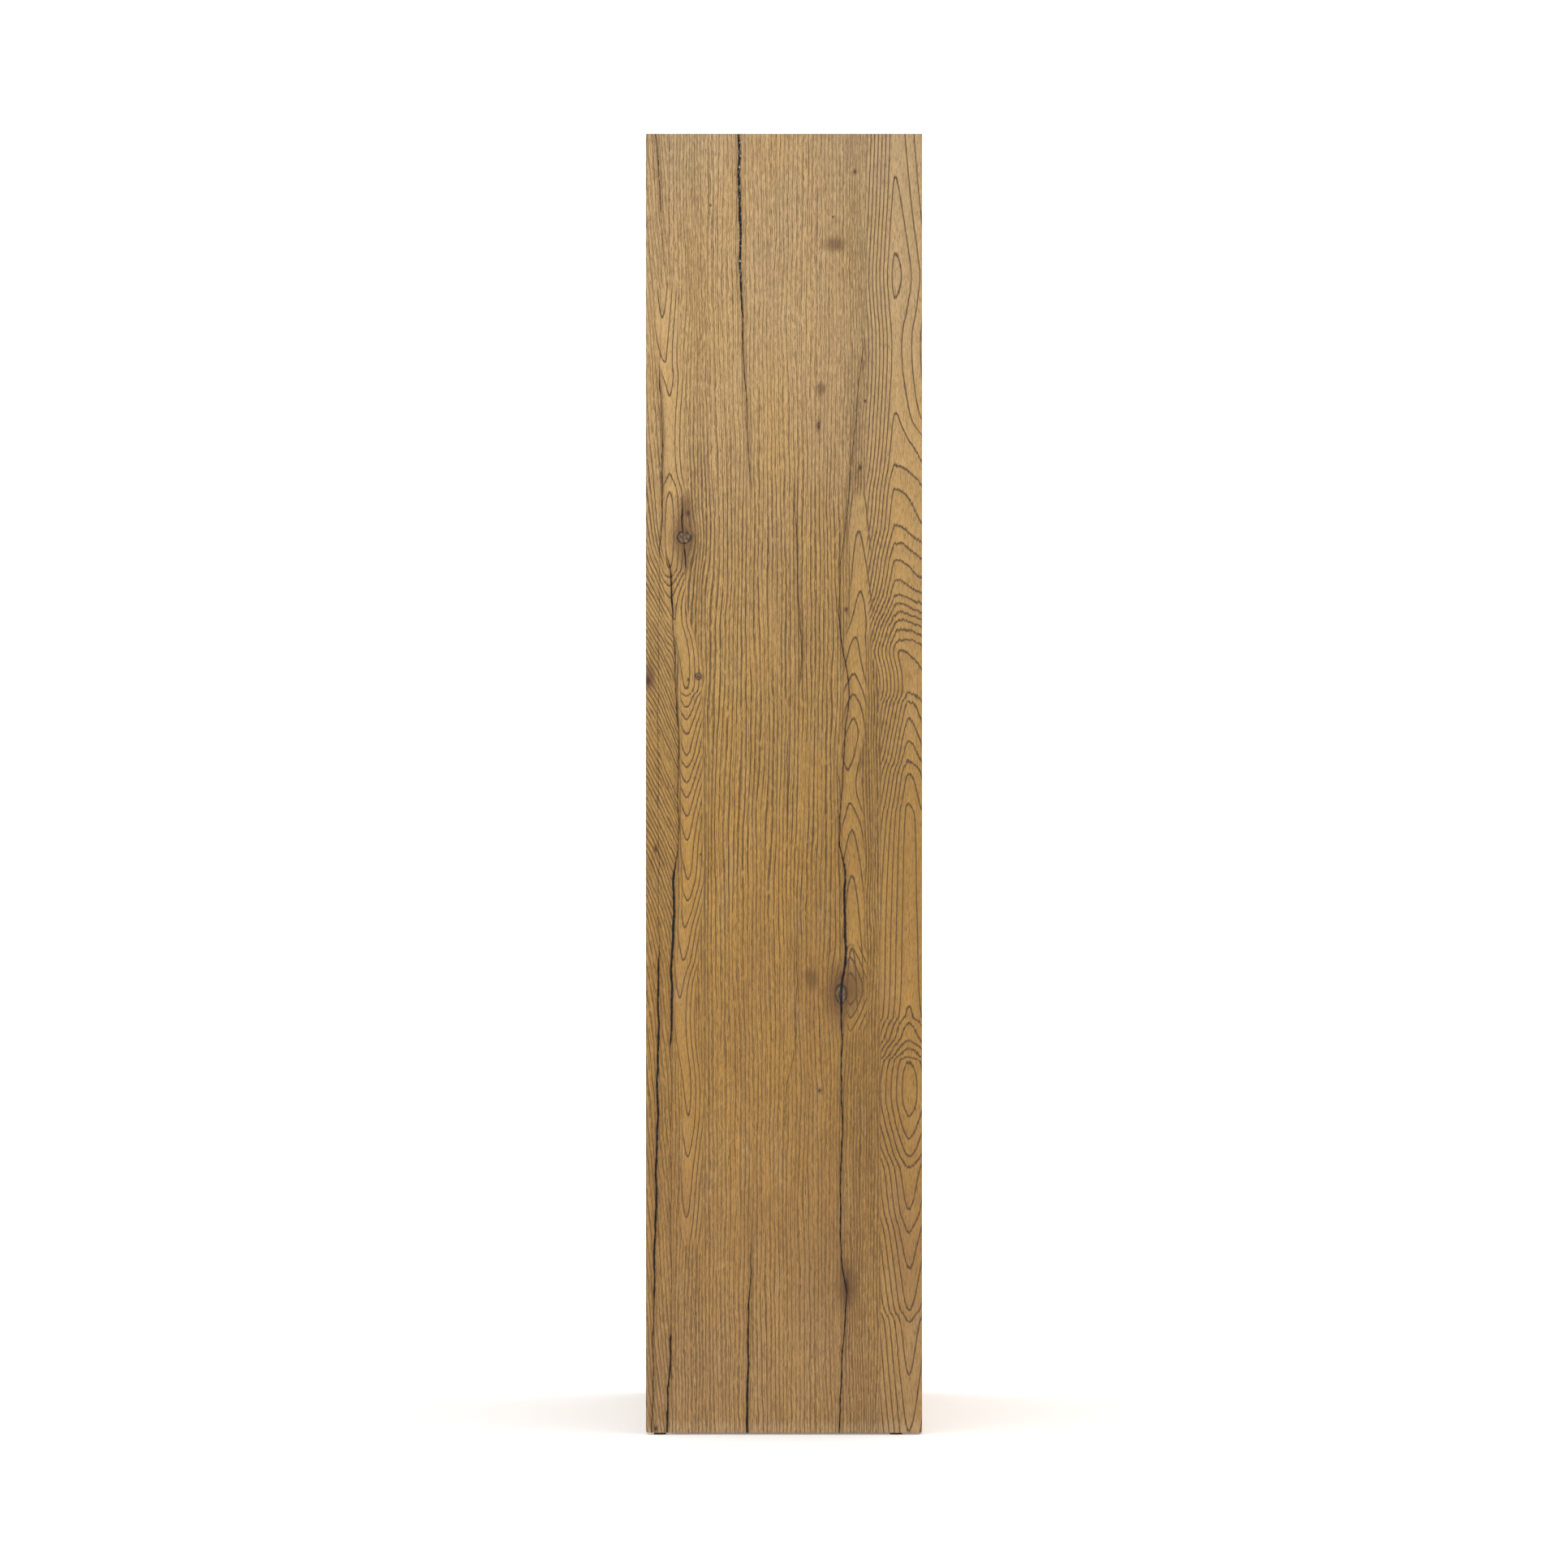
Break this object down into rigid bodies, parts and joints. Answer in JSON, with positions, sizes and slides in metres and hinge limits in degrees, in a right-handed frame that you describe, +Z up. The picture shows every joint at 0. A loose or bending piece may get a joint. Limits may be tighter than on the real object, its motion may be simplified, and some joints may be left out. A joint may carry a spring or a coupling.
{
  "type": "pantry cabinet",
  "caption": "Tall free-standing oak cabinet: inset doors on pivot hinges with adjustable shelves behind, above full-width drawers on ball slides, with levelling feet and a wall rail.",
  "frame": {"origin": "on the floor, under the middle of the case", "axes": "+Z up, -Y towards the front with the doors, +X to the right seen from the front"},
  "size_m": [1.016, 0.457, 2.153],
  "materials": {
    "oak_show": "rustic oak veneer, matt oil, dark filled cracks and knots",
    "oak_inside": "straight-grained oak veneer, matt lacquer",
    "drawer_wood": "pale solid wood, lacquered",
    "panel_ply": "plywood faced with oak",
    "dowel_beech": "raw beech",
    "hinge_steel": "black plated steel",
    "slide_steel": "bright zinc plate",
    "screw_steel": "zinc-plated steel",
    "catch_steel": "nickel plate",
    "washer": "plain brass",
    "foot_steel": "black oxide steel"
  },
  "bodies": {
    "root": {"side_panel_left": "oak_show", "side_panel_right": "oak_show", "top_panel": "oak_show", "bottom_panel": "oak_inside", "mid_deck": "oak_inside", "centre_partition": "oak_inside", "centre_stile": "oak_inside", "back_panel": "panel_ply", "plinth_front": "oak_inside", "plinth_back": "oak_inside", "wall_rail": "oak_inside", "shelf_left_1": "oak_inside", "shelf_left_2": "oak_inside", "shelf_left_3": "oak_inside", "shelf_left_4": "oak_inside", "shelf_right_1": "oak_inside", "shelf_right_2": "oak_inside", "shelf_right_3": "oak_inside", "shelf_right_4": "oak_inside", "shelf_pins": "screw_steel", "mitre_splines": "panel_ply", "case_dowels": "dowel_beech", "back_screws": "screw_steel", "pivot_case_leaves": "hinge_steel", "pivot_case_screws": "screw_steel", "pivot_washers": "washer", "catch_magnets": "catch_steel", "foot_inserts": "screw_steel", "slide_case_members": "slide_steel", "slide_case_screws": "screw_steel"},
    "door_left": {"door_left": "oak_show", "door_leaves_left": "hinge_steel", "door_screws_left": "screw_steel", "strike_plates_left": "catch_steel"},
    "door_right": {"door_right": "oak_show", "door_leaves_right": "hinge_steel", "door_screws_right": "screw_steel", "strike_plates_right": "catch_steel"},
    "drawer_lower": {"drawer_front_lower": "oak_show", "box_front_lower": "drawer_wood", "box_back_lower": "drawer_wood", "box_side_left_lower": "drawer_wood", "box_side_right_lower": "drawer_wood", "box_bottom_lower": "panel_ply", "box_screws_lower": "screw_steel", "slide_drawer_members_lower": "slide_steel"},
    "slide_middle_lower": {"slide_middle_members_lower": "slide_steel"},
    "drawer_upper": {"drawer_front_upper": "oak_show", "box_front_upper": "drawer_wood", "box_back_upper": "drawer_wood", "box_side_left_upper": "drawer_wood", "box_side_right_upper": "drawer_wood", "box_bottom_upper": "panel_ply", "box_screws_upper": "screw_steel", "slide_drawer_members_upper": "slide_steel"},
    "slide_middle_upper": {"slide_middle_members_upper": "slide_steel"},
    "foot_front_left": {"foot_front_left": "foot_steel"},
    "foot_front_right": {"foot_front_right": "foot_steel"},
    "foot_back_left": {"foot_back_left": "foot_steel"},
    "foot_back_right": {"foot_back_right": "foot_steel"}
  },
  "joints": [
    {"name": "door_left_swing", "type": "hinge", "parent": "root", "child": "door_left", "pos_m": [-0.467, -0.2205, 0.658], "axis": [0, 0, -1], "range_deg": [0, 110]},
    {"name": "door_right_swing", "type": "hinge", "parent": "root", "child": "door_right", "pos_m": [0.467, -0.2205, 0.658], "axis": [0, 0, 1], "range_deg": [0, 110]},
    {"name": "drawer_lower_slide", "type": "slide", "parent": "root", "child": "drawer_lower", "axis": [0, -1, 0], "range_m": [0, 0.39]},
    {"name": "slide_middle_lower_slide", "type": "slide", "parent": "root", "child": "slide_middle_lower", "axis": [0, -1, 0], "range_m": [0, 0.195]},
    {"name": "drawer_upper_slide", "type": "slide", "parent": "root", "child": "drawer_upper", "axis": [0, -1, 0], "range_m": [0, 0.39]},
    {"name": "slide_middle_upper_slide", "type": "slide", "parent": "root", "child": "slide_middle_upper", "axis": [0, -1, 0], "range_m": [0, 0.195]},
    {"name": "foot_front_left_turn", "type": "hinge", "parent": "root", "child": "foot_front_left", "pos_m": [-0.4955, -0.2055, 0], "axis": [0, 0, 1], "continuous": true},
    {"name": "foot_front_right_turn", "type": "hinge", "parent": "root", "child": "foot_front_right", "pos_m": [0.4955, -0.2055, 0], "axis": [0, 0, 1], "continuous": true},
    {"name": "foot_back_left_turn", "type": "hinge", "parent": "root", "child": "foot_back_left", "pos_m": [-0.4955, 0.1855, 0], "axis": [0, 0, 1], "continuous": true},
    {"name": "foot_back_right_turn", "type": "hinge", "parent": "root", "child": "foot_back_right", "pos_m": [0.4955, 0.1855, 0], "axis": [0, 0, 1], "continuous": true}
  ],
  "couplings": [
    {"joint": "slide_middle_lower_slide", "follows": "drawer_lower_slide", "ratio": 0.5},
    {"joint": "slide_middle_upper_slide", "follows": "drawer_upper_slide", "ratio": 0.5}
  ]
}
